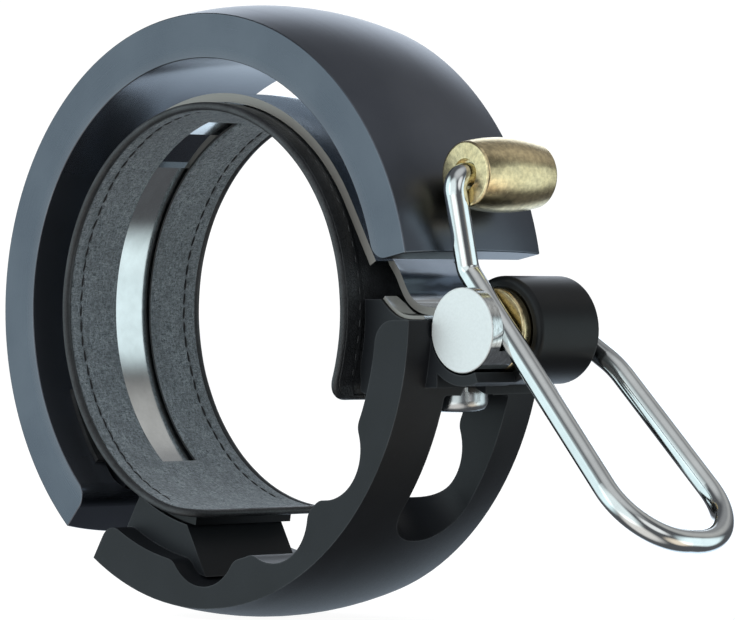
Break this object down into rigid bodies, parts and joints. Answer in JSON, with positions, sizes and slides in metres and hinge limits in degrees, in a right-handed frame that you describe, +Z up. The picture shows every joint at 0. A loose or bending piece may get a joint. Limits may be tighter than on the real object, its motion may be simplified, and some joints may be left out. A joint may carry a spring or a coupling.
{
  "type": "bicycle bell",
  "caption": "Ring-shaped handlebar bell: an open ring that sounds, a clamp base with a lined steel band, and a sprung wire striker with a brass hammer.",
  "frame": {"origin": "centre of the handlebar bore, at mid width", "axes": "+Y along the handlebar away from the front face, +X towards the striker pivot, +Z up"},
  "size_m": [0.0702, 0.0154, 0.049],
  "materials": {
    "ring_metal": "dark anodised, satin",
    "base_nylon": "matte moulded",
    "housing_nylon": "satin moulded",
    "rubber": "matte",
    "steel": "machined",
    "screw_steel": "polished",
    "band_steel": "polished",
    "spring_steel": "drawn wire",
    "hub_steel": "fine turned",
    "wire_steel": "polished",
    "brass": "turned, satin",
    "felt": "short grey nap",
    "leather": "black, fine grain"
  },
  "bodies": {
    "base": {"bell_ring": "ring_metal", "mount_base": "base_nylon", "ring_isolator": "rubber", "isolator_sleeve": "steel", "ring_screw": "screw_steel", "clamp_band": "band_steel", "band_rivets": "steel", "saddle_plate": "band_steel", "felt_liner": "felt", "liner_cover": "leather", "clamp_nut": "steel", "spring_housing": "housing_nylon", "housing_cap": "housing_nylon", "housing_screw": "screw_steel", "front_bush": "brass", "rear_bush": "brass", "torsion_spring": "spring_steel"},
    "striker": {"pivot_hub": "hub_steel", "pivot_shaft": "steel", "shaft_clip": "steel", "lever_wire": "wire_steel", "hammer": "brass"},
    "screw_seat": {"screw_washer": "steel"},
    "screw": {"clamp_screw": "screw_steel"}
  },
  "joints": [
    {"name": "striker_pivot", "type": "hinge", "parent": "base", "child": "striker", "pos_m": [0.0273, 0, -0.00146], "axis": [0, 1, 0], "range_deg": [-1.8, 21], "stiffness_Nm_per_rad": 0.05, "deforming": ["torsion_spring"]},
    {"name": "screw_travel", "type": "slide", "parent": "base", "child": "screw_seat", "axis": [0, 0, -1], "range_m": [0, 0.0012]},
    {"name": "screw_turn", "type": "hinge", "parent": "screw_seat", "child": "screw", "pos_m": [0.0216, 0, -0.007], "axis": [0, 0, -1], "range_deg": [0, 1081]}
  ],
  "couplings": [
    {"joint": "screw_turn", "follows": "screw_travel", "rad_per_m": 15708}
  ]
}
